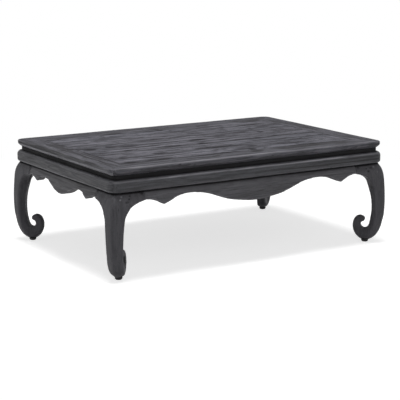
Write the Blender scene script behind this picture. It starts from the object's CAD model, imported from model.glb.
import math
from functools import partial

import bmesh
import bpy
from bpy.props import FloatProperty, FloatVectorProperty, IntProperty, PointerProperty
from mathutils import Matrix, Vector


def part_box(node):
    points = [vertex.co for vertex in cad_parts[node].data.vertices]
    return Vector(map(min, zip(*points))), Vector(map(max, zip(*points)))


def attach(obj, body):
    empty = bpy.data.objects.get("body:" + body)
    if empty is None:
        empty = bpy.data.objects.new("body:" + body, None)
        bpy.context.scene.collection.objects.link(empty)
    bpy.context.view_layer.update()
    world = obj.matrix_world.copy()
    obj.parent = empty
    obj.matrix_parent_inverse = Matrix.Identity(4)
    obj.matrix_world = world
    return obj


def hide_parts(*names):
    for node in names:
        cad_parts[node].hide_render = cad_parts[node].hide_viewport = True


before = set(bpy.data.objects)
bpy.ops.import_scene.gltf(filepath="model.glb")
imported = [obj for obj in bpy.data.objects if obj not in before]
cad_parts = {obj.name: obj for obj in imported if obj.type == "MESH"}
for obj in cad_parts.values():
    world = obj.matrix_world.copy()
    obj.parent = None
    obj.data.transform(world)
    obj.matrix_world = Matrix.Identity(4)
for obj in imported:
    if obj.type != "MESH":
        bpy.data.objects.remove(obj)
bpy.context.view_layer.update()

bl_info = {
    "name": "Kang Table",
    "version": (1, 0, 0),
    "blender": (4, 5, 0),
    "location": "View3D > Sidebar > Kang Table",
    "description": "Builds a low table of charcoal-stained, wire-brushed wood",
    "category": "Object",
}

BOXES = {node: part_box(node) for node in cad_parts}
MM = 0.001
BODY = "root"

# Which way the fibres of a piece run.
ALONG, ACROSS, UPRIGHT = "along", "across", "upright"

SIDE_GRAIN = {"front": ALONG, "back": ALONG, "left": ACROSS, "right": ACROSS}
SIDES = tuple(SIDE_GRAIN)
CORNERS = ("front_left", "front_right", "back_left", "back_right")
APRONS = tuple(f"apron_{side}" for side in SIDES)
LEGS = tuple(f"leg_{corner}" for corner in CORNERS)
HIDDEN = ("batten_left", "batten_centre", "batten_right", "apron_pegs")

# Checks, knots and torn places of the panel boards, by eye: x and y in mm, length, width, depth 0 to 1.
BOARD_MARKS = (
    # along the joint with the front rail
    (-470, -300, 60, 26, 0.9), (-350, -302, 140, 18, 0.8), (-100, -302, 250, 20, 0.85), (60, -290, 44, 44, 0.8),
    (270, -300, 330, 20, 0.7),
    # along the joints between the boards, from the front one
    (-434, -182, 40, 20, 0.6), (-286, -184, 84, 28, 0.9), (-5, -181, 270, 26, 0.85), (214, -184, 160, 18, 0.4),
    (-358, -76, 40, 26, 0.8), (-152, -77, 200, 24, 0.85), (-20, -84, 100, 28, 0.85), (160, -72, 110, 20, 0.5),
    (340, -68, 150, 20, 0.6), (-470, 16, 60, 30, 0.9), (-372, 30, 50, 34, 0.6), (-300, 10, 90, 18, 0.45),
    (-150, 16, 230, 20, 0.5), (2, 8, 100, 30, 0.9), (146, 18, 210, 18, 0.5), (388, 14, 40, 18, 0.5),
    (-165, 108, 170, 24, 0.6), (170, 110, 140, 22, 0.5), (-330, 212, 96, 26, 0.5), (140, 234, 340, 22, 0.35),
    (396, 226, 180, 34, 0.7),
    # along the joint with the back rail
    (-470, 298, 50, 26, 0.5), (-224, 298, 120, 28, 0.6), (-5, 300, 40, 44, 0.8), (206, 298, 70, 30, 0.5),
    (440, 300, 140, 30, 0.6),
    # stain dried darker towards one end
    (480, 0, 900, 1100, 0.14),
    # knots and torn fibres out on the boards
    (-452, -215, 36, 60, 0.45), (-375, -250, 56, 22, 0.5), (-36, -250, 26, 30, 0.5), (100, -230, 50, 34, 0.6),
    (278, -252, 150, 24, 0.55), (470, -256, 64, 24, 0.5), (-395, -150, 70, 26, 0.35), (324, 44, 40, 40, 0.7),
    (336, 134, 34, 36, 0.6), (210, 158, 26, 26, 0.5), (-380, 54, 24, 30, 0.5), (488, -140, 26, 34, 0.5),
)

# The same for the frame round the panel, run along each rail's own length.
RAIL_MARKS = {
    "top_rail_front": (
        (-470, -310, 60, 20, 0.8), (-350, -310, 140, 16, 0.7), (-100, -310, 250, 16, 0.8),
        (-190, -342, 190, 16, 0.6), (-140, -346, 50, 26, 0.8), (50, -335, 64, 40, 0.75),
        (270, -325, 340, 56, 0.7), (180, -345, 100, 30, 0.6), (430, -335, 120, 50, 0.5),
    ),
    "top_rail_back": (
        (-5, 322, 36, 30, 0.8), (-224, 312, 120, 20, 0.5), (206, 314, 70, 24, 0.5), (450, 325, 160, 40, 0.5),
    ),
    "end_rail_left": (
        (-597, -20, 900, 9, 0.75), (-552, -160, 350, 14, 0.9), (-516, -150, 340, 12, 0.9),
        (-540, 140, 190, 56, 0.5), (-560, 62, 34, 34, 0.9), (-528, 60, 40, 26, 0.9), (-540, 290, 140, 40, 0.35),
    ),
    "end_rail_right": ((540, 230, 220, 34, 0.5), (552, 20, 180, 30, 0.5), (536, -230, 130, 16, 0.5)),
}

# Bands where a piece is rubbed pale: x and y in mm, length, width, from how far down to how far down, strength.
# A negative strength is a band where the stain has gathered.
RUBBED_BANDS = {
    "top_rail_front": (
        (-440, -391, 300, 22, 0, 1, 1.0), (-250, -392, 300, 18, 0, 1, 1.0), (0, -392, 400, 18, 0, 1, 0.8),
        (330, -392, 300, 16, 0, 1, 0.6), (530, -391, 140, 20, 0, 1, 0.7),
    ),
    "end_rail_left": (
        (-600, 0, 900, 40, 1, 8, -0.65), (-590, 0, 900, 60, 13, 24, 1.7), (-578, 0, 800, 30, 0, 1, 0.15),
    ),
    "base_moulding_front": (
        (0, -398, 1400, 40, 3, 9, 0.75), (320, -398, 300, 40, 3, 9, 1.1), (-60, -398, 160, 40, 3, 9, 1.2),
        (-330, -398, 120, 40, 3, 9, 1.2), (0, -398, 1400, 50, 36, 42, 0.3), (470, -400, 420, 40, 12, 17, -1.1),
        (400, -400, 620, 40, 24, 29, -1.8),
    ),
    "base_moulding_left": ((-598, 0, 900, 40, 37, 43, 0.5),),
    "apron_front": ((0, -408, 1300, 80, 15, 34, 0.28),),
}

# Dark torn spots of the legs, by eye: centre and half sizes in mm, strength, over 1 for one without a break.
LEG_MARKS = {
    "leg_front_left": (
        (-527, -354.5, 66, 9.5, 8, 19, 2.2), (-544, -407, 286, 9, 9, 5, 0.6), (-534, -404, 296, 5, 8, 4, 0.6),
        (-530, -400, 306, 6, 8, 3, 0.6), (-580, -405, 262, 4, 8, 12, 0.4),
    ),
    "leg_front_right": (
        (528, -404, 292, 7, 8, 6, 0.8), (540, -402, 303, 8, 8, 3, 0.6), (585, -405, 262, 5, 8, 14, 0.6),
        (520, -402, 302, 5, 8, 3, 0.6),
    ),
}

# Spots where the legs are rubbed pale, in the same way.
LEG_RUBS = {
    "leg_front_left": (
        (-562, -398, 306, 5, 6, 4, 1.0), (-569, -403, 296, 5, 6, 4, 0.8), (-513, -342, 62, 5, 5, 16, 0.5),
    ),
    "leg_front_right": ((556, -400, 306, 6, 6, 4, 0.8), (570, -404, 285, 5, 6, 5, 0.4)),
    "leg_back_left": (
        (-573, 371, 188, 5, 5, 6, 0.9), (-574, 373, 172, 5, 5, 5, 0.7), (-575, 374, 158, 5, 5, 5, 0.9),
        (-577, 373, 143, 5, 5, 5, 0.7), (-577, 373, 130, 5, 5, 5, 0.8), (-575, 374, 115, 5, 5, 5, 0.5),
    ),
}


# Colours

def linear(code):
    """An sRGB hex colour as linear values."""
    channels = [int(code[i:i + 2], 16) / 255 for i in (1, 3, 5)]
    return tuple(c / 12.92 if c <= 0.04045 else ((c + 0.055) / 1.055) ** 2.4 for c in channels)


def opaque(colour):
    """Adds the alpha that a colour socket wants."""
    return (*colour, 1.0)


def swatch(name, code, description):
    """A colour setting, given as sRGB hex."""
    return FloatVectorProperty(name=name, description=description, subtype="COLOR", size=3, min=0, max=1,
                               default=linear(code))


def length(name, millimetres, description, top=1000.0):
    """A size setting, given in millimetres."""
    return FloatProperty(name=name, description=description, subtype="DISTANCE", unit="LENGTH",
                         default=millimetres * MM, min=0, max=top * MM, precision=4)


def watts(name, power, description):
    """The setting for a lamp's power."""
    return FloatProperty(name=name, description=description, default=power, min=0, max=1000, subtype="POWER",
                         unit="POWER")


# Settings

class WoodColours(bpy.types.PropertyGroup):
    """Stain colours of the groups of pieces."""
    panel: swatch("Panel", "#7f7e86", "Stain of the panel boards")
    rails: swatch("Top frame", "#626168", "Stain of the frame round the panel")
    body: swatch("Body", "#505054", "Stain of the mouldings")
    aprons: swatch("Aprons", "#565559", "Stain of the aprons")
    legs: swatch("Legs", "#5b5a5e", "Stain of the legs")
    waist: swatch("Waist", "#2d2d2e", "Stain of the recessed waist")
    pads: swatch("Pads", "#3a3a3b", "Stain of the turned foot pads")
    inside: swatch("Inside", "#4a4744", "Thin stain on the hidden battens and pegs")
    pore: swatch("Pores", "#1f1e20", "Stain that gathers in pores and grooves")
    worn: swatch("Worn edges", "#8d8c92", "Stain rubbed thin along the edges")


class WoodRelief(bpy.types.PropertyGroup):
    """What planing, brushing and use leave."""
    cell: length("Mesh cell", 3.0, "Mesh cells of the waist, mouldings and aprons", 10)
    rail_cell: length("Rail cell", 2.4, "Mesh cells of the rails of the top frame", 10)
    leg_cell: length("Leg cell", 2.5, "Mesh cells of the legs", 10)
    board_cell: length("Board cell", 2.6, "Mesh cells across a panel board", 10)
    board_run: length("Board run", 6.0, "Mesh cells along a panel board", 20)
    groove_deep: length("Groove depth", 0.4, "Depth that the brush takes from soft wood", 5)
    groove_wide: length("Groove width", 8.0, "Distance between brushed grooves", 50)
    groove_long: length("Groove length", 190.0, "Length of a brushed groove", 1000)
    warp: length("Warp", 0.4, "How far a piece strays from flat", 5)
    board_ease: length("Board ease", 2.2, "Rounding of the long edges of a board", 5)
    board_crown: length("Board crown", 0.5, "Rise of the middle of a board over its edges", 5)
    mark_deep: length("Check depth", 1.6, "Depth of the deepest checks and knots", 5)
    wear: FloatProperty(name="Wear", description="How much the edges are rubbed round", default=0.2,
                        min=0, max=1, subtype="FACTOR")
    wear_steps: IntProperty(name="Wear steps", description="How far the rubbed edges reach", default=3,
                            min=1, max=30)


class StageLook(bpy.types.PropertyGroup):
    """Camera, lamps and floor."""
    camera_place: FloatVectorProperty(name="Camera place", description="Where the camera stands", subtype="XYZ",
                                      unit="LENGTH", default=(-2.75344, -4.45308, 1.25086))
    camera_yaw: FloatProperty(name="Camera yaw", description="Turn of the view from the depth axis",
                              subtype="ANGLE", default=math.radians(31.80))
    camera_pitch: FloatProperty(name="Camera pitch", description="How far the view looks down", subtype="ANGLE",
                                default=math.radians(11.73))
    focal: FloatProperty(name="Focal length", description="Focal length in mm on a 36 mm sensor", default=121.54,
                         min=10, max=300)
    overhead: watts("Overhead lamp", 430, "Power of the soft overhead lamp")
    card: watts("Low card", 0.5, "Power of the card beside the left end")
    front: watts("Front lamp", 9.5, "Power of the soft lamp in front")
    fill: FloatProperty(name="Room light", description="Level of the even light", default=0.2, min=0, max=2)
    floor: swatch("Floor", "#c8c8c8", "Pale floor")
    floor_lift: FloatProperty(name="Floor lift", description="Light that the camera sees on the floor",
                              default=0.71, min=0, max=1)


# Nodes

def add_node(tree, kind, inputs=None, **settings):
    """Adds a node, sets its settings, and fills its inputs with values or links."""
    node = tree.nodes.new(kind)
    for name, value in settings.items():
        setattr(node, name, value)
    for key, value in (inputs or {}).items():
        if isinstance(value, bpy.types.NodeSocket):
            tree.links.new(value, node.inputs[key])
        else:
            node.inputs[key].default_value = value
    return node


# Short names for what the trees work out most: the kind of node and its settings.
SUMS = {"plus": "ADD", "minus": "SUBTRACT", "times": "MULTIPLY", "over": "DIVIDE", "larger": "MAXIMUM",
        "smaller": "MINIMUM", "above": "GREATER_THAN", "cosine": "COSINE", "zigzag": "PINGPONG"}
VECTOR_SUMS = {"vector plus": "ADD", "vector minus": "SUBTRACT", "vector times": "MULTIPLY",
               "vector larger": "MAXIMUM", "vector smaller": "MINIMUM", "times plus": "MULTIPLY_ADD",
               "scaled": "SCALE", "unit": "NORMALIZE"}
WORKINGS = {
    **{name: ("ShaderNodeMath", {"operation": kind}) for name, kind in SUMS.items()},
    **{name: ("ShaderNodeVectorMath", {"operation": kind}) for name, kind in VECTOR_SUMS.items()},
    "stretch": ("ShaderNodeMapRange", {}),
}


def work_out(tree, name, *inputs):
    """Adds the node that a short name stands for, fills its inputs in order, and gives its result."""
    kind, settings = WORKINGS[name]
    sockets = (0, "Scale") if name == "scaled" else range(len(inputs))
    return add_node(tree, kind, dict(zip(sockets, inputs)), **settings).outputs[0]


def fresh_nodes(owner):
    """The emptied node tree of a material or world."""
    owner.use_nodes = True
    owner.node_tree.nodes.clear()
    return owner.node_tree


def new_tree(name, sockets):
    """Starts a Geometry Nodes tree with inputs given as name, kind and default."""
    tree = bpy.data.node_groups.new(name, "GeometryNodeTree")
    for label, kind, default in sockets:
        socket = tree.interface.new_socket(label, in_out="INPUT", socket_type="NodeSocket" + kind)
        if default is not None:
            socket.default_value = default
    tree.interface.new_socket("Geometry", in_out="OUTPUT", socket_type="NodeSocketGeometry")
    return tree


RELIEF_SOCKETS = (
    ("Neighbours", "Object", None), ("Partners", "Object", None), ("Pattern", "Vector", (5.0, 125.0, 125.0)),
    ("Groove Depth", "Float", 0.4 * MM), ("Warp", "Float", 0.4 * MM), ("Swell", "Float", 0.35 * MM),
    ("Wear", "Float", 0.5), ("Wear Steps", "Int", 3), ("Smooth Steps", "Int", 2), ("Sharpen", "Float", 0.7),
    ("Seam", "Float", 0.5), ("Seam Reach", "Float", 4.5 * MM), ("Flush Seam", "Float", 0.12),
    ("Seed", "Float", 1.0), ("Material", "Material", None),
)

# Sizes in mm: a dent, the wave of the warp, how proud a sharp edge is, and how near to a neighbour or partner the
# wear stops and starts, and the seam is at its darkest.
DENT_MM = 70.0
WARP_MM = 260.0
EDGE_FULL_MM = 0.55
JOINT_MM = (0.8, 4.0)
FLUSH_MM = (0.3, 1.5)
SEAM_MM = 0.3

# Where each next piece lies in the noise, and how rough the noise is.
RELIEF_WAY = (7.3, 3.1, 5.7)
NOISE_ROUGH = 0.55

# The part of the noise's range that dents, grooves and warps, and what it is stretched to.
DENT_SPAN = (0.38, 0.6, 0.6)
GROOVE_SPAN = (0.42, 0.66)
WARP_SPAN = (0.3, 0.7, -0.5, 0.5)

# Share of the grooves' depth that is left in a joint.
JOINT_GROOVES = 0.4


def end_tree(tree, geometry, material):
    """Ends a tree with one real mesh in its material."""
    real = add_node(tree, "GeometryNodeRealizeInstances", {"Geometry": geometry})
    dressed = add_node(tree, "GeometryNodeSetMaterial", {"Geometry": real.outputs[0], "Material": material})
    add_node(tree, "NodeGroupOutput", {0: dressed.outputs[0]})
    return tree


def end_brushed(tree, geometry, given):
    """Ends a tree by way of the brushing tree, whose inputs it has as well."""
    inputs = {label: given[label] for label, _kind, _default in RELIEF_SOCKETS[:-1]}
    brushing = add_node(tree, "GeometryNodeGroup", {"Geometry": geometry, **inputs},
                        node_tree=shared_tree("brushed_surface"))
    return end_tree(tree, brushing.outputs[0], given["Material"])


def brushed_tree():
    """Tree that wears and brushes a mesh, and notes for the stain what it did."""
    tree = new_tree("brushed_surface", (("Geometry", "Geometry", None), *RELIEF_SOCKETS))
    node, work = partial(add_node, tree), partial(work_out, tree)
    given = node("NodeGroupInput").outputs
    place = node("GeometryNodeInputPosition").outputs[0]
    normal = node("GeometryNodeInputNormal").outputs[0]
    seed = work("scaled", RELIEF_WAY, given["Seed"])

    def blurred(steps, weight=1.0):
        return node("GeometryNodeBlurAttribute", {"Value": place, "Iterations": steps, "Weight": weight},
                    data_type="FLOAT_VECTOR").outputs[0]

    def noise(frequency, detail):
        at = work("times plus", place, frequency, seed)
        inputs = {"Vector": at, "Scale": 1.0, "Detail": detail, "Roughness": NOISE_ROUGH}
        return node("ShaderNodeTexNoise", inputs, noise_dimensions="3D").outputs[0]

    def moved(geometry, **where):
        return node("GeometryNodeSetPosition", {"Geometry": geometry, **where}).outputs[0]

    def note(geometry, name, value):
        return node("GeometryNodeStoreNamedAttribute", {"Geometry": geometry, "Name": name, "Value": value},
                    data_type="FLOAT", domain="POINT").outputs[0]

    def joint_with(label, share, start, end):
        others = node("GeometryNodeObjectInfo", {"Object": given[label]}).outputs["Geometry"]
        near = node("GeometryNodeProximity", {0: others}, target_element="FACES").outputs
        free = work("minus", 1.0, near["Is Valid"])
        clear = work("larger", work("stretch", near["Distance"], start * MM, end * MM), free)
        dark = work("stretch", near["Distance"], SEAM_MM * MM, given["Seam Reach"], 1.0, 0.0)
        return clear, work("minus", work("times", dark, share), free)

    # which points lie in a joint
    clear, dark = joint_with("Neighbours", given["Seam"], *JOINT_MM)
    partner_clear, partner_dark = joint_with("Partners", given["Flush Seam"], *FLUSH_MM)
    open_share = work("smaller", clear, partner_clear)
    seam = work("larger", work("larger", dark, partner_dark), 0.0)
    settled = moved(note(note(given["Geometry"], "open", open_share), "seam", seam),
                    Position=blurred(given["Smooth Steps"], open_share))
    opened = node("GeometryNodeInputNamedAttribute", {"Name": "open"}, data_type="FLOAT").outputs[0]

    # edges rubbed round in the open, and kept sharp in a joint
    shift = work("vector minus", place, blurred(given["Wear Steps"]))
    outward = node("ShaderNodeVectorMath", {0: shift, 1: normal}, operation="DOT_PRODUCT")
    edge = work("times", work("over", outward.outputs["Value"], EDGE_FULL_MM * MM), opened)
    dents = work("stretch", noise([1 / (DENT_MM * MM)] * 3, 1.0), *DENT_SPAN)
    rubbed = work("times", work("times", dents, given["Wear"]), opened)
    sharper = work("times", work("minus", 1.0, opened), given["Sharpen"])
    pull = work("scaled", shift, work("minus", sharper, rubbed))
    rounded = moved(note(settled, "edge", edge), Offset=pull)

    # brushed grooves, and the warp of the whole piece
    groove = work("stretch", noise(given["Pattern"], 2.0), *GROOVE_SPAN)
    warp = work("stretch", noise([1 / (WARP_MM * MM)] * 3, 1.0), *WARP_SPAN)
    cut = work("times", groove, given["Groove Depth"])
    cut = work("times", cut, work("stretch", opened, 0.0, 1.0, JOINT_GROOVES))
    height = work("plus", work("minus", work("times", warp, given["Warp"]), cut), given["Swell"])
    brushed = moved(note(rounded, "groove", groove), Offset=work("scaled", normal, height))
    smooth = node("GeometryNodeSetShadeSmooth", {"Geometry": note(brushed, "piece", given["Seed"])})
    return end_tree(tree, smooth.outputs[0], given["Material"])


def plank_tree():
    """Tree that makes a panel board: a slab with eased edges and a crowned face, then brushed."""
    tree = new_tree("worn_plank", (
        ("Size", "Vector", (1.0, 0.1, 0.014)),
        ("Centre", "Vector", (0.0, 0.0, 0.0)),
        ("Cell Along", "Float", 6 * MM),
        ("Cell Across", "Float", 2.6 * MM),
        ("Ease", "Float", 2 * MM),
        ("Crown", "Float", 0.5 * MM),
        *RELIEF_SOCKETS,
    ))
    node, work = partial(add_node, tree), partial(work_out, tree)
    given = node("NodeGroupInput").outputs
    place = node("GeometryNodeInputPosition").outputs[0]
    size = node("ShaderNodeSeparateXYZ", {0: given["Size"]}).outputs
    counts = {}
    for axis, cell in enumerate((given["Cell Along"], given["Cell Across"], given["Cell Across"])):
        counts["Vertices " + "XYZ"[axis]] = work("plus", work("over", size[axis], cell), 2.0)
    slab = node("GeometryNodeMeshCube", {"Size": given["Size"], **counts}).outputs["Mesh"]
    core = work("vector minus", work("scaled", given["Size"], 0.5), given["Ease"])
    inside = work("vector smaller", work("vector larger", place, work("scaled", core, -1.0)), core)
    away = work("unit", work("vector minus", place, inside))
    eased = work("vector plus", inside, work("scaled", away, given["Ease"]))
    slab = node("GeometryNodeSetPosition", {"Geometry": slab, "Position": eased}).outputs[0]
    at = node("ShaderNodeSeparateXYZ", {0: place}).outputs
    sideways = work("over", at["Y"], work("times", size["Y"], 0.5))
    drop = work("times", work("times", sideways, sideways), given["Crown"])
    upper = work("above", at["Z"], 0.0)
    sunk = node("ShaderNodeCombineXYZ", {"Z": work("times", work("times", drop, upper), -1.0)})
    slab = node("GeometryNodeSetPosition", {"Geometry": slab, "Offset": sunk.outputs[0]}).outputs[0]
    slab = node("GeometryNodeSetPosition", {"Geometry": slab, "Offset": given["Centre"]}).outputs[0]
    return end_brushed(tree, slab, given)


# Pads: their height without the dowel, their mesh, and how much narrower they are turned at both ends.
PAD_HIGH = 10 * MM
PAD_MESH = {"Vertices": 64, "Side Segments": 14, "Fill Segments": 5}
PAD_TURN = (0.0, 0.6, 0.74, 1.0)


def pad_tree():
    """Tree that turns a pad and sets it under each scroll."""
    tree = new_tree("turned_pads", (
        ("Places", "Geometry", None),
        ("Radius", "Float", 13.5 * MM),
        ("Height", "Float", PAD_HIGH),
        *RELIEF_SOCKETS,
    ))
    node, work = partial(add_node, tree), partial(work_out, tree)
    given = node("NodeGroupInput").outputs
    place = node("GeometryNodeInputPosition").outputs[0]
    disc = node("GeometryNodeMeshCylinder", {**PAD_MESH, "Radius": given["Radius"], "Depth": given["Height"]},
                fill_type="TRIANGLE_FAN")
    at = node("ShaderNodeSeparateXYZ", {0: place}).outputs
    level = work("over", at["Z"], given["Height"])
    wave = node("ShaderNodeMath", {0: level, 1: math.pi / 2, 2: -math.pi / 4}, operation="MULTIPLY_ADD")
    shrink = work("stretch", work("cosine", wave.outputs[0]), *PAD_TURN)
    flat = node("ShaderNodeCombineXYZ", {"X": shrink, "Y": shrink, "Z": 1.0})
    turned = work("vector times", place, flat.outputs[0])
    pad = node("GeometryNodeSetPosition", {"Geometry": disc.outputs["Mesh"], "Position": turned})
    spread = node("GeometryNodeInstanceOnPoints", {"Points": given["Places"], "Instance": pad.outputs[0]})
    single = node("GeometryNodeRealizeInstances", {"Geometry": spread.outputs[0]})
    return end_brushed(tree, single.outputs[0], given)


def shared_tree(name):
    """Gives a tree, building it the first time it is asked for."""
    builders = {"brushed_surface": brushed_tree, "worn_plank": plank_tree, "turned_pads": pad_tree}
    return bpy.data.node_groups.get(name) or builders[name]()


# Materials

# Name of the wood, how strongly the grain shows, how far edges are rubbed pale, the roughness and strength of the
# oil film's sheen, how dark and dull undersides stay, and the width of the dark bands as a share of the usual.
WOOD_LOOK = {
    "panel": ("charcoal stained elm boards", 1.1, 0.3, 0.55, 0.12, 0.0, 1.5),
    "rails": ("charcoal stained elm rails", 1.0, 0.3, 0.5, 0.3, 0.0, 1.5),
    "body": ("charcoal stained elm body", 0.7, 0.25, 0.5, 0.34, 0.0, 0.6),
    "aprons": ("charcoal stained elm aprons", 0.6, 0.5, 0.5, 0.38, 0.6, 0.8),
    "legs": ("charcoal stained elm legs", 0.3, 0.1, 0.52, 0.14, 0.15, 1.0),
    "waist": ("black stained elm waist", 0.6, 0.1, 0.6, 0.08, 0.0, 1.0),
    "pads": ("black turned beech pads", 0.5, 0.2, 0.6, 0.3, 0.0, 1.0),
    "inside": ("thinly stained pine inside", 0.8, 0.2, 0.65, 0.3, 0.0, 1.0),
}
GRAIN_TURN = {ALONG: (0, 0, 0), ACROSS: (0, 0, math.pi / 2), UPRIGHT: (0, math.pi / 2, 0)}

# Noises of the stain: length and width in mm, detail, and twist and roughness where they aren't the usual ones,
# then the part of the range that counts and what it is stretched to.
STAIN_NOISE = {
    # broad light and dark places, dark bands and short flecks
    "broad": ((420, 30, 4.0, 0.4, 0.65), (0.36, 0.64)),
    "bands": ((200, 12, 4.0, 0.3, 0.65), (0.5, 0.58)),
    "flecks": ((75, 9, 3.0, 0.6, 0.55), (0.57, 0.65)),
    # growth rings, and where they show
    "rings": ((560, 46, 2.0, 0.4, 0.55), ()),
    "ring_share": ((150, 30, 2.0), (0.42, 0.6)),
    # fibres, threads and pores, which are drawn coarser than real ones so that they show
    "fibres": ((80, 3.6, 3.0), ()),
    "threads": ((24, 0.9, 2.0), ()),
    "pores": ((9, 0.7, 1.0), (0.6, 0.7)),
    # patches of bluish stain, and breaks in torn places, rubbed edges, crowns, rubbed bands and dark joints
    "cool": ((700, 260, 1.0), (0.45, 0.65, 0.0, 0.3)),
    "torn": ((50, 6.0, 3.0), (0.38, 0.52, 0.35)),
    "rub": ((160, 14, 2.0), (0.35, 0.6, 0.25)),
    "crown": ((130, 9.0, 3.0), (0.45, 0.58, 0.2, 1.2)),
    "pale": ((90, 12, 2.0), (0.35, 0.6, 0.3)),
    "seam": ((120, 40, 2.0), (0.35, 0.6, 0.7)),
}
STAIN_WAY = (1.37, 0.71, 0.93)

# Growth rings in one span of their noise, and the share of a ring that is its dark line.
RINGS = 8.0
RING_LINE = 0.24

# How far the stain goes lighter and darker, what it is times where it has dried a little blue, and how much of it
# rings, flecks, bands, pores and grooves take.
LIGHTER, DARKER = 0.4, 0.3
COOL_CAST = (0.95, 1.02, 1.05)
RING_DARK, FLECK_DARK, BAND_DARK, PORE_DARK, GROOVE_DARK, TORN_DARK = 0.8, 0.75, 0.66, 0.5, 0.4, 0.95
FIBRE_DARK = (0.35, 0.65, 0.0, 0.5)
THREAD_DARK = (0.3, 0.7, 0.0, 0.55)

# How proud an edge is where it is rubbed, and how deep a corner is where it stays dark.
EDGE_SPAN = (0.25, 0.9)
HOLLOW_SPAN = (-0.25, -0.9, 0.0, 0.75)

# How far a face looks up where a rounded crown starts and ends, on an underside, and on a flat that looks dull.
CROWN_START, CROWN_END = (0.3, 0.65), (0.985, 0.93)
UNDER_SPAN = (-0.2, -0.5)
FLAT_SPAN = (0.85, 0.97)
DULL = 0.95

# Roughness below and above the film's own along the fibres, and what the darkest stain adds.
FIBRE_ROUGH = (0.07, 0.1)
DEEP_ROUGH = 0.25

# What fibres and threads raise and dark stain sinks in the bump, and the film's refraction.
FIBRE_BUMP, THREAD_BUMP, DEEP_BUMP = 0.7, 0.3, 0.9
BUMP = {"Strength": 0.5, "Distance": 0.7 * MM}
OIL_IOR = 1.48


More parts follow.
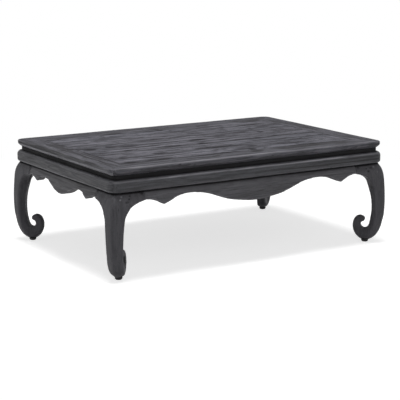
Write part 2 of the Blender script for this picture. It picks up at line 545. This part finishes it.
def wood(kind, grain):
    """Charcoal-stained, wire-brushed wood: dark pores in grey-violet latewood, pale worn edges, a satin film."""
    name, streaks, rubbed, rough, sheen, under, band = WOOD_LOOK[kind]
    name = f"{name} {grain}"
    if name in bpy.data.materials:
        return bpy.data.materials[name]
    colours = bpy.context.scene.kang_colours
    stain, dark = getattr(colours, kind), opaque(colours.pore)
    material = bpy.data.materials.new(name)
    tree = fresh_nodes(material)
    node, work = partial(add_node, tree), partial(work_out, tree)
    coords = node("ShaderNodeTexCoord").outputs["Object"]
    piece, groove, edge, mark, seam, pale = (
        node("ShaderNodeAttribute", attribute_name=note).outputs["Fac"]
        for note in ("piece", "groove", "edge", "mark", "seam", "pale"))
    turned = node("ShaderNodeMapping", {"Vector": coords, "Rotation": GRAIN_TURN[grain]},
                  vector_type="TEXTURE").outputs[0]
    place = work("vector plus", turned, work("scaled", STAIN_WAY, piece))

    def pattern(label, widen=1.0):
        (long_mm, wide_mm, detail, *twisted), span = STAIN_NOISE[label]
        twist, rough_share = twisted or (0.0, NOISE_ROUGH)
        thin = 1 / (wide_mm * widen * MM)
        scaled = work("vector times", place, (1 / (long_mm * MM), thin, thin))
        value = node("ShaderNodeTexNoise", {"Vector": scaled, "Scale": 1.0, "Detail": detail,
                                            "Roughness": rough_share, "Distortion": twist}).outputs[0]
        return work("stretch", value, *span) if span else value

    def blend(factor, first, second):
        return node("ShaderNodeMix", {"Factor": factor, 6: first, 7: second}, data_type="RGBA").outputs[2]

    # the stain in the wood
    shade = opaque(channel * (1 - DARKER * streaks) for channel in stain)
    light = opaque(min(1.0, channel * (1 + LIGHTER * streaks)) for channel in stain)
    ring = work("zigzag", work("times", pattern("rings"), RINGS), 0.5)
    lines = work("times", work("stretch", ring, 0.0, RING_LINE, 1.0, 0.0), pattern("ring_share"))
    fibres, threads = pattern("fibres"), pattern("threads")
    deep = work("larger", work("times", lines, RING_DARK), work("times", pattern("flecks", band), FLECK_DARK))
    deep = work("larger", deep, work("times", pattern("bands", band), BAND_DARK))
    deep = work("times", deep, streaks)
    colour = blend(pattern("broad", band), shade, light)
    cool = opaque(channel * cast for channel, cast in zip(stain, COOL_CAST))
    colour = blend(pattern("cool"), colour, cool)
    colour = blend(work("stretch", fibres, *FIBRE_DARK), colour, shade)
    colour = blend(work("stretch", threads, *THREAD_DARK), colour, shade)
    colour = blend(work("times", pattern("pores"), PORE_DARK), colour, dark)
    colour = blend(work("times", groove, GROOVE_DARK * streaks), colour, dark)
    colour = blend(work("smaller", deep, 1.0), colour, dark)

    # torn places, rubbed edges, crowns and bands
    torn = work("times", work("larger", pattern("torn"), work("stretch", mark, 1.0, 1.5)), TORN_DARK)
    colour = blend(work("times", work("stretch", mark, 0.0, 0.7), torn), colour, dark)
    rub = work("times", work("stretch", edge, *EDGE_SPAN), pattern("rub"))
    rise = node("ShaderNodeSeparateXYZ", {0: node("ShaderNodeNewGeometry").outputs["Normal"]}).outputs["Z"]
    crown = work("times", work("stretch", rise, *CROWN_START), work("stretch", rise, *CROWN_END))
    rub = work("larger", rub, work("times", crown, pattern("crown")))
    rub = work("times", rub, work("stretch", mark, 0.0, 0.5, 1.0, 0.0))
    rub = work("larger", work("times", rub, rubbed), work("times", pale, pattern("pale")))
    colour = blend(rub, colour, opaque(colours.worn))
    colour = blend(work("stretch", pale, 0.0, -1.0), colour, dark)

    # dark corners, joints and undersides
    hollow = work("larger", work("stretch", edge, *HOLLOW_SPAN), work("times", seam, pattern("seam")))
    below = work("stretch", rise, *UNDER_SPAN, 0.0, under)
    colour = blend(below, blend(hollow, colour, dark), dark)

    # the film's sheen, and the fibres in it
    dull = work("times", work("larger", work("larger", work("stretch", rise, *FLAT_SPAN), below), hollow), DULL)
    film = work("stretch", fibres, 0.3, 0.7, rough - FIBRE_ROUGH[0], rough + FIBRE_ROUGH[1])
    roughness = work("plus", film, work("times", work("smaller", deep, 1.0), DEEP_ROUGH))
    height = work("plus", work("times", fibres, FIBRE_BUMP), work("times", threads, THREAD_BUMP))
    height = work("minus", height, work("times", deep, DEEP_BUMP))
    bump = node("ShaderNodeBump", {**BUMP, "Height": height}).outputs[0]
    shader = node("ShaderNodeBsdfPrincipled", {
        "Base Color": colour, "Roughness": work("larger", roughness, dull), "IOR": OIL_IOR,
        "Specular IOR Level": sheen, "Normal": bump})
    node("ShaderNodeOutputMaterial", {"Surface": shader.outputs[0]})
    return material


# Meshes

# Distances in mm: points that are merged, points that count as on a cut, and how far a piece's neighbours reach.
MERGE_MM = 0.01
ON_CUT_MM = 0.001
NEAR_MM = 8

# Where each group of pieces starts in the noise, and how far on its next piece lies.
SEEDS = {"panel": (10.0, 3.7), "rails": (40.0, 2.3), "waist": (60.0, 1.9), "body": (80.0, 2.9),
         "aprons": (100.0, 3.3), "legs": (120.0, 2.1), "pads": (150.0, 0.0)}

# What each group of pieces changes in the brushing tree's inputs.
RELIEF_CHANGES = {
    "panel": {"Seam": 0.8, "Sharpen": 0.0, "Smooth Steps": 0},
    "rails": {"Seam": 0.35, "Flush Seam": 0.0, "Sharpen": 0.0, "Wear Steps": 2},
    "waist": {"Sharpen": 0.0},
    "body": {"Seam": 0.4, "Sharpen": 0.0, "Wear Steps": 2},
    "aprons": {"Seam": 2.4, "Seam Reach": 11 * MM, "Flush Seam": 0.3},
    "legs": {"Seam": 3.0, "Seam Reach": 11 * MM, "Flush Seam": 0.3, "Wear Steps": 5, "Groove Depth": 0.25 * MM,
             "Swell": 1.1 * MM},
    "pads": {"Seam": 0.0, "Sharpen": 0.0, "Wear Steps": 2, "Smooth Steps": 1, "Groove Depth": 0.15 * MM,
             "Warp": 0.1 * MM},
}


def new_piece(name, mesh):
    """Puts a mesh into the scene as a piece at the origin."""
    piece = bpy.data.objects.new(name, mesh)
    bpy.context.collection.objects.link(piece)
    return piece


def made_mesh(piece):
    """The plain mesh that a piece's modifiers make."""
    depsgraph = bpy.context.evaluated_depsgraph_get()
    return bpy.data.meshes.new_from_object(piece.evaluated_get(depsgraph), preserve_all_data_layers=True,
                                           depsgraph=depsgraph)


def settle(piece, *neighbours):
    """Gives a piece the mesh that its modifiers make, and clears what it was measured from."""
    mesh, source = made_mesh(piece), piece.data
    piece.modifiers.clear()
    piece.data = mesh
    mesh.name = piece.name
    for spent in (source, *(other.data for other in neighbours)):
        bpy.data.meshes.remove(spent)
    if not mesh.polygons:
        raise RuntimeError(f"{piece.name} came out empty")
    return piece


def frame_copy(*nodes):
    """Copies nodes into one mesh with their loose triangles joined up."""
    mesh = bpy.data.meshes.new(nodes[0])
    shell = bmesh.new()
    for node in nodes:
        shell.from_mesh(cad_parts[node].data)
    bmesh.ops.remove_doubles(shell, verts=shell.verts, dist=MERGE_MM * MM)
    shell.to_mesh(mesh)
    shell.free()
    return mesh


def neighbours_of(nodes, left_out=()):
    """The nodes that lie against the named ones."""
    reach = NEAR_MM * MM

    def near(one, other):
        (low, high), (bottom, top) = BOXES[one], BOXES[other]
        return all(low[i] - reach < top[i] and bottom[i] - reach < high[i] for i in range(3))

    return [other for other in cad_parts
            if other not in (*nodes, *left_out) and any(near(other, node) for node in nodes)]


def relief_values(kind, grain, number):
    """Inputs of the brushing tree for one piece of a group whose fibres run the given way."""
    relief = bpy.context.scene.kang_relief
    slow, fast = 1 / relief.groove_long, 1 / relief.groove_wide
    pattern = {ALONG: (slow, fast, fast), ACROSS: (fast, slow, fast), UPRIGHT: (fast, fast, slow)}[grain]
    start, step = SEEDS[kind]
    return {"Pattern": pattern, "Groove Depth": relief.groove_deep, "Warp": relief.warp, "Wear": relief.wear,
            "Wear Steps": relief.wear_steps, "Seed": start + number * step, "Material": wood(kind, grain),
            **RELIEF_CHANGES[kind]}


def finish_piece(piece, slot, *nodes):
    """Says what a piece rides on, what it stands for and which finish it has."""
    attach(piece, BODY)
    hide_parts(*nodes)


def add_cells(piece, cell):
    """Lays a mesh of even cells over a piece."""
    remesh = piece.modifiers.new("cells", "REMESH")
    remesh.mode = "VOXEL"
    remesh.voxel_size = cell


def run_tree(piece, name, values):
    """Gives a piece a tree, with its inputs set through the identifiers of their sockets."""
    modifier = piece.modifiers.new(name, "NODES")
    modifier.node_group = shared_tree(name)
    for item in modifier.node_group.interface.items_tree:
        if item.item_type == "SOCKET" and item.in_out == "INPUT" and item.name in values:
            modifier[item.identifier] = values[item.name]


def brush(piece, slot, node, kind, grain, number, partners):
    """Wears and brushes the piece that stands for a node, less where it meets others."""
    others = new_piece("neighbours", frame_copy(*neighbours_of((node,), partners)))
    flush = new_piece("partners", frame_copy(*(other for other in partners if other != node)))
    values = {**relief_values(kind, grain, number), "Neighbours": others, "Partners": flush}
    run_tree(piece, "brushed_surface", values)
    settle(piece, others, flush)
    finish_piece(piece, slot, node)


def worn_copy(node, kind, grain, number, cell, partners):
    """A worn and brushed copy of a node of the body, with the nodes that it meets flush."""
    piece = new_piece(node + "_worn", frame_copy(node))
    add_cells(piece, cell)
    brush(piece, "body_wood", node, kind, grain, number, partners)
    return piece


def keep_side(mesh, side, outer, run):
    """Cuts one side out of a ring along its two mitres."""
    shell = bmesh.new()
    shell.from_mesh(mesh)
    signs = {"front": ((-1, -1), (1, -1)), "back": ((-1, 1), (1, 1)),
             "left": ((-1, -1), (-1, 1)), "right": ((1, -1), (1, 1))}[side]
    for across, along in signs:
        normal = Vector((across * run.y, -along * run.x, 0)) * (1 if SIDE_GRAIN[side] == ALONG else -1)
        bmesh.ops.bisect_plane(shell, geom=[*shell.verts, *shell.edges, *shell.faces], dist=ON_CUT_MM * MM,
                               plane_co=(across * outer.x, along * outer.y, 0), plane_no=normal, clear_outer=True)
    part = bpy.data.meshes.new(side)
    shell.to_mesh(part)
    shell.free()
    return part


def close_ends(piece, axis):
    """Closes both ends of a piece with flat, sharp-edged faces."""
    shell = bmesh.new()
    shell.from_mesh(piece.data)
    for end in (-1, 1):
        rim = [edge for edge in shell.edges if edge.is_boundary and edge.verts[0].co[axis] * end > 0]
        for edge in rim:
            edge.smooth = False
        bmesh.ops.triangle_fill(shell, use_beauty=True, edges=rim)
    bmesh.ops.recalc_face_normals(shell, faces=shell.faces)
    shell.to_mesh(piece.data)
    shell.free()


def mitred_ring(nodes, slot, kind, cell):
    """The four sides of a mitred ring, meshed as one and cut, so that they meet without a gap."""
    ring = new_piece(kind, frame_copy(*nodes))
    add_cells(ring, cell)
    whole = made_mesh(ring)
    bpy.data.meshes.remove(ring.data)
    _front, back, left, _right = (BOXES[node] for node in nodes)
    outer = Vector((-left[0].x, back[1].y))
    run = Vector((left[1].x - left[0].x, back[1].y - back[0].y))
    pieces = {}
    for number, (node, side) in enumerate(zip(nodes, SIDES)):
        grain = SIDE_GRAIN[side]
        piece = new_piece(node + "_worn", keep_side(whole, side, outer, run))
        brush(piece, slot, node, kind, grain, number, nodes)
        close_ends(piece, 0 if grain == ALONG else 1)
        pieces[node] = piece
    bpy.data.meshes.remove(whole)
    return pieces


# Marks: how far below the top a piece still counts as its upper face, how far and fast a long check wanders, and
# the widest check that goes to its full depth, all in mm.
SKIN_MM = 4
WANDER_MM = 1.5
WANDER_TURN = 0.045
NARROW_MM = 16


def across_table(node):
    """Whether a side piece runs across the table."""
    return node.endswith(("left", "right"))


def from_middle(vertex, x, y, turned):
    """How far a point lies from a place, along a piece and across it, in mm."""
    along, aside = vertex.co.x / MM - x, vertex.co.y / MM - y
    return (aside, along) if turned else (along, aside)


def cut_marks(piece, marks, deepest, turned=False):
    """Sinks checks, knots and torn places into an upper face, and notes them for the stain."""
    mesh = piece.data
    note = mesh.attributes.new("mark", "FLOAT", "POINT")
    upper = max(vertex.co.z for vertex in mesh.vertices)
    for vertex in mesh.vertices:
        if vertex.co.z < upper - SKIN_MM * MM:
            continue
        dark = deep = 0.0
        for x, y, run, wide, share in marks:
            along, aside = from_middle(vertex, x, y, turned)
            aside = (aside - WANDER_MM * math.sin(along * WANDER_TURN + y)) / (wide * 0.5)
            along = along / (run * 0.5)
            away = along * along + aside * aside
            if away < 1:
                dark = max(dark, share * (1 - away * away))
                deep = max(deep, share * (1 - away) * min(1, NARROW_MM / wide))
        if dark:
            note.data[vertex.index].value = dark
            vertex.co.z -= deepest * deep


def rub_pale(piece, node):
    """Notes for the stain the bands that are rubbed pale, or where it has gathered."""
    mesh = piece.data
    note = mesh.attributes.new("pale", "FLOAT", "POINT")
    upper = max(vertex.co.z for vertex in mesh.vertices)
    for vertex in mesh.vertices:
        for x, y, run, wide, start, end, share in RUBBED_BANDS.get(node, ()):
            along, aside = from_middle(vertex, x, y, across_table(node))
            away = (along / (run * 0.5)) ** 2 + (aside / (wide * 0.5)) ** 2
            if away < 1 and start * MM <= upper - vertex.co.z <= end * MM:
                found = note.data[vertex.index]
                found.value = max(found.value, share * (1 - away * away), key=abs)


def note_spots(piece, name, spots):
    """Notes for the stain the round spots where a piece is torn or rubbed."""
    mesh = piece.data
    note = mesh.attributes.new(name, "FLOAT", "POINT")
    for vertex in mesh.vertices:
        x, y, z = vertex.co / MM
        for at_x, at_y, at_z, half_x, half_y, half_z, share in spots:
            away = ((x - at_x) / half_x) ** 2 + ((y - at_y) / half_y) ** 2 + ((z - at_z) / half_z) ** 2
            if away < 1:
                note.data[vertex.index].value = max(note.data[vertex.index].value, share * (1 - away * away))


# Operators

class KANG_OT_panel_boards(bpy.types.Operator):
    """Make the six boards of the panel, with their checks and knots"""
    bl_idname = "kang.panel_boards"
    bl_label = "Panel boards"

    def execute(self, context):
        relief = context.scene.kang_relief
        for number in range(1, 7):
            node = f"panel_board_{number}"
            low, high = BOXES[node]
            piece = new_piece(node + "_worn", bpy.data.meshes.new(node))
            others = new_piece("neighbours", frame_copy(*neighbours_of((node,))))
            run_tree(piece, "worn_plank", {
                **relief_values("panel", ALONG, number), "Neighbours": others, "Size": high - low,
                "Centre": (low + high) / 2, "Cell Along": relief.board_run, "Cell Across": relief.board_cell,
                "Ease": relief.board_ease, "Crown": relief.board_crown})
            settle(piece, others)
            near = [mark for mark in BOARD_MARKS
                    if low.y - mark[3] * MM < mark[1] * MM < high.y + mark[3] * MM]
            cut_marks(piece, near, relief.mark_deep)
            finish_piece(piece, "panel_wood", node)
        return {"FINISHED"}


class KANG_OT_top_frame(bpy.types.Operator):
    """Make the mitred frame round the panel"""
    bl_idname = "kang.top_frame"
    bl_label = "Top frame"

    def execute(self, context):
        relief = context.scene.kang_relief
        for node, piece in mitred_ring(tuple(RAIL_MARKS), "frame_wood", "rails", relief.rail_cell).items():
            cut_marks(piece, RAIL_MARKS[node], relief.mark_deep, across_table(node))
            rub_pale(piece, node)
        return {"FINISHED"}


class KANG_OT_waist(bpy.types.Operator):
    """Make the recessed waist"""
    bl_idname = "kang.waist"
    bl_label = "Waist"

    def execute(self, context):
        nodes = [f"waist_{side}" for side in SIDES]
        mitred_ring(nodes, "waist_wood", "waist", context.scene.kang_relief.cell)
        return {"FINISHED"}


class KANG_OT_mouldings(bpy.types.Operator):
    """Make the rounded base mouldings"""
    bl_idname = "kang.mouldings"
    bl_label = "Base mouldings"

    def execute(self, context):
        nodes = [f"base_moulding_{side}" for side in SIDES]
        for node, piece in mitred_ring(nodes, "body_wood", "body", context.scene.kang_relief.cell).items():
            rub_pale(piece, node)
        return {"FINISHED"}


class KANG_OT_aprons(bpy.types.Operator):
    """Make the bulging aprons"""
    bl_idname = "kang.aprons"
    bl_label = "Aprons"

    def execute(self, context):
        for number, (node, grain) in enumerate(zip(APRONS, SIDE_GRAIN.values())):
            piece = worn_copy(node, "aprons", grain, number, context.scene.kang_relief.cell, LEGS)
            rub_pale(piece, node)
        return {"FINISHED"}


class KANG_OT_legs(bpy.types.Operator):
    """Make the scroll-footed legs"""
    bl_idname = "kang.legs"
    bl_label = "Legs"

    def execute(self, context):
        for number, node in enumerate(LEGS):
            piece = worn_copy(node, "legs", UPRIGHT, number, context.scene.kang_relief.leg_cell, APRONS)
            note_spots(piece, "mark", LEG_MARKS.get(node, ()))
            note_spots(piece, "pale", LEG_RUBS.get(node, ()))
        return {"FINISHED"}


class KANG_OT_foot_pads(bpy.types.Operator):
    """Make the turned pads under the scroll feet"""
    bl_idname = "kang.foot_pads"
    bl_label = "Foot pads"

    def execute(self, context):
        names = [f"foot_pad_{corner}" for corner in CORNERS]
        boxes = [BOXES[name] for name in names]
        places = bpy.data.meshes.new("pad_places")
        places.from_pydata([((low.x + high.x) / 2, (low.y + high.y) / 2, low.z + PAD_HIGH / 2)
                            for low, high in boxes], [], [])
        piece = new_piece("foot_pads", places)
        others = new_piece("neighbours", frame_copy(*neighbours_of(names)))
        run_tree(piece, "turned_pads", {
            **relief_values("pads", UPRIGHT, 0), "Neighbours": others,
            "Radius": (boxes[0][1].x - boxes[0][0].x) / 2, "Height": PAD_HIGH})
        settle(piece, others)
        finish_piece(piece, "pad_wood", *names)
        return {"FINISHED"}


class KANG_OT_inner_parts(bpy.types.Operator):
    """Finish the hidden battens and pegs"""
    bl_idname = "kang.inner_parts"
    bl_label = "Inner parts"

    def execute(self, context):
        for node in HIDDEN:
            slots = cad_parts[node].material_slots
            if not slots:
                raise RuntimeError(f"{node} has no material slot")
            for slot in slots:
                slot.material = wood("inside", ACROSS)
        return {"FINISHED"}


# Studio lamps: size, place and aim in metres.
LAMPS = {
    "overhead": (2.6, (-0.4, -0.4, 8.0), (0.0, 0.0, 0.2)),
    "front": (1.8, (-1.0, -2.9, 1.9), (0.0, 0.0, 0.2)),
    "card": (0.9, (-1.5, 0.2, 0.4), (0.0, 0.2, 0.4)),
}
SENSOR_MM = 36.0
VIEW_END = 100.0

# Floor: radius in metres, facets, and where it starts and ends running out into the background.
FLOOR_RADIUS = 30.0
FLOOR_FACETS = 96
FLOOR_FADE = (0.9, 2.2)
WHITE = (1.0, 1.0, 1.0, 1.0)


def seen_rays(tree):
    """1 for the rays that see the background: the camera's own, and those by metal and glass."""
    rays = add_node(tree, "ShaderNodeLightPath").outputs
    seen = work_out(tree, "larger", rays["Is Camera Ray"], rays["Is Glossy Ray"])
    return work_out(tree, "larger", seen, rays["Is Transmission Ray"])


class KANG_OT_stage(bpy.types.Operator):
    """Set up the camera, the lamps, the floor and the background"""
    bl_idname = "kang.stage"
    bl_label = "Stage"

    def execute(self, context):
        look = context.scene.kang_stage
        scene = context.scene
        scene.view_settings.view_transform = "Standard"
        camera = bpy.data.objects.new("camera", bpy.data.cameras.new("camera"))
        camera.data.lens = look.focal
        camera.data.sensor_width = SENSOR_MM
        camera.data.sensor_fit = "HORIZONTAL"
        camera.data.clip_end = VIEW_END
        camera.location = look.camera_place
        camera.rotation_euler = (math.pi / 2 - look.camera_pitch, 0.0, -look.camera_yaw)
        scene.collection.objects.link(camera)
        scene.camera = camera
        for name, (size, place, aim) in LAMPS.items():
            lamp = bpy.data.lights.new(name, "AREA")
            lamp.energy = getattr(look, name)
            lamp.size = size
            stand = bpy.data.objects.new(name, lamp)
            stand.location = place
            stand.rotation_euler = (Vector(aim) - Vector(place)).to_track_quat("-Z", "Y").to_euler()
            stand.visible_camera = False
            scene.collection.objects.link(stand)
        self.make_world(scene, look)
        self.make_floor(look)
        return {"FINISHED"}

    def make_world(self, scene, look):
        """Even room light, seen as white by the camera and in reflections."""
        world = bpy.data.worlds.new("studio")
        tree = fresh_nodes(world)
        room = add_node(tree, "ShaderNodeBackground", {"Color": WHITE, "Strength": look.fill}).outputs[0]
        white = add_node(tree, "ShaderNodeBackground", {"Color": WHITE, "Strength": 1.0}).outputs[0]
        mixed = add_node(tree, "ShaderNodeMixShader", {0: seen_rays(tree), 1: room, 2: white}).outputs[0]
        add_node(tree, "ShaderNodeOutputWorld", {"Surface": mixed})
        scene.world = world

    def make_floor(self, look):
        """Round pale floor that keeps the shadow and runs out into the white background."""
        disc = bmesh.new()
        bmesh.ops.create_circle(disc, cap_ends=True, segments=FLOOR_FACETS, radius=FLOOR_RADIUS)
        mesh = bpy.data.meshes.new("floor")
        disc.to_mesh(mesh)
        disc.free()
        floor = new_piece("floor", mesh)
        material = bpy.data.materials.new("pale matt paper floor")
        tree = fresh_nodes(material)
        node, work = partial(add_node, tree), partial(work_out, tree)
        seen = seen_rays(tree)
        coords = node("ShaderNodeTexCoord").outputs["Object"]
        far = node("ShaderNodeVectorMath", {0: coords}, operation="LENGTH").outputs["Value"]
        out = node("ShaderNodeMapRange", {"Value": far, "From Min": FLOOR_FADE[0], "From Max": FLOOR_FADE[1]},
                   interpolation_type="SMOOTHSTEP").outputs[0]
        matt = node("ShaderNodeBsdfDiffuse", {"Color": opaque(look.floor)}).outputs[0]
        lift = work("times", seen, look.floor_lift)
        glow = node("ShaderNodeEmission", {"Strength": lift}).outputs[0]
        near = node("ShaderNodeAddShader", {0: matt, 1: glow}).outputs[0]
        white = node("ShaderNodeEmission", {"Strength": 1.0}).outputs[0]
        share = work("times", out, seen)
        mixed = node("ShaderNodeMixShader", {0: share, 1: near, 2: white}).outputs[0]
        node("ShaderNodeOutputMaterial", {"Surface": mixed})
        mesh.materials.append(material)


STEPS = (KANG_OT_panel_boards, KANG_OT_top_frame, KANG_OT_waist, KANG_OT_mouldings, KANG_OT_aprons, KANG_OT_legs,
         KANG_OT_foot_pads, KANG_OT_inner_parts, KANG_OT_stage)
SETTINGS = {"kang_colours": WoodColours, "kang_relief": WoodRelief, "kang_stage": StageLook}


class KANG_PT_sidebar(bpy.types.Panel):
    """Lists the steps that build the table"""
    bl_idname = "KANG_PT_sidebar"
    bl_label = "Kang Table"
    bl_space_type = "VIEW_3D"
    bl_region_type = "UI"
    bl_category = "Kang Table"

    def draw(self, context):
        for step in STEPS:
            self.layout.operator(step.bl_idname)
        for settings in SETTINGS:
            group = getattr(context.scene, settings)
            for name in group.__annotations__:
                self.layout.prop(group, name)


CLASSES = (*SETTINGS.values(), *STEPS, KANG_PT_sidebar)


def register():
    for item in CLASSES:
        bpy.utils.register_class(item)
    for name, group in SETTINGS.items():
        setattr(bpy.types.Scene, name, PointerProperty(type=group))


def unregister():
    for name in SETTINGS:
        delattr(bpy.types.Scene, name)
    for item in reversed(CLASSES):
        bpy.utils.unregister_class(item)


def main():
    register()
    bpy.ops.kang.stage()
    bpy.ops.kang.panel_boards()
    bpy.ops.kang.top_frame()
    bpy.ops.kang.waist()
    bpy.ops.kang.mouldings()
    bpy.ops.kang.aprons()
    bpy.ops.kang.legs()
    bpy.ops.kang.foot_pads()
    bpy.ops.kang.inner_parts()


if __name__ == "__main__":
    main()
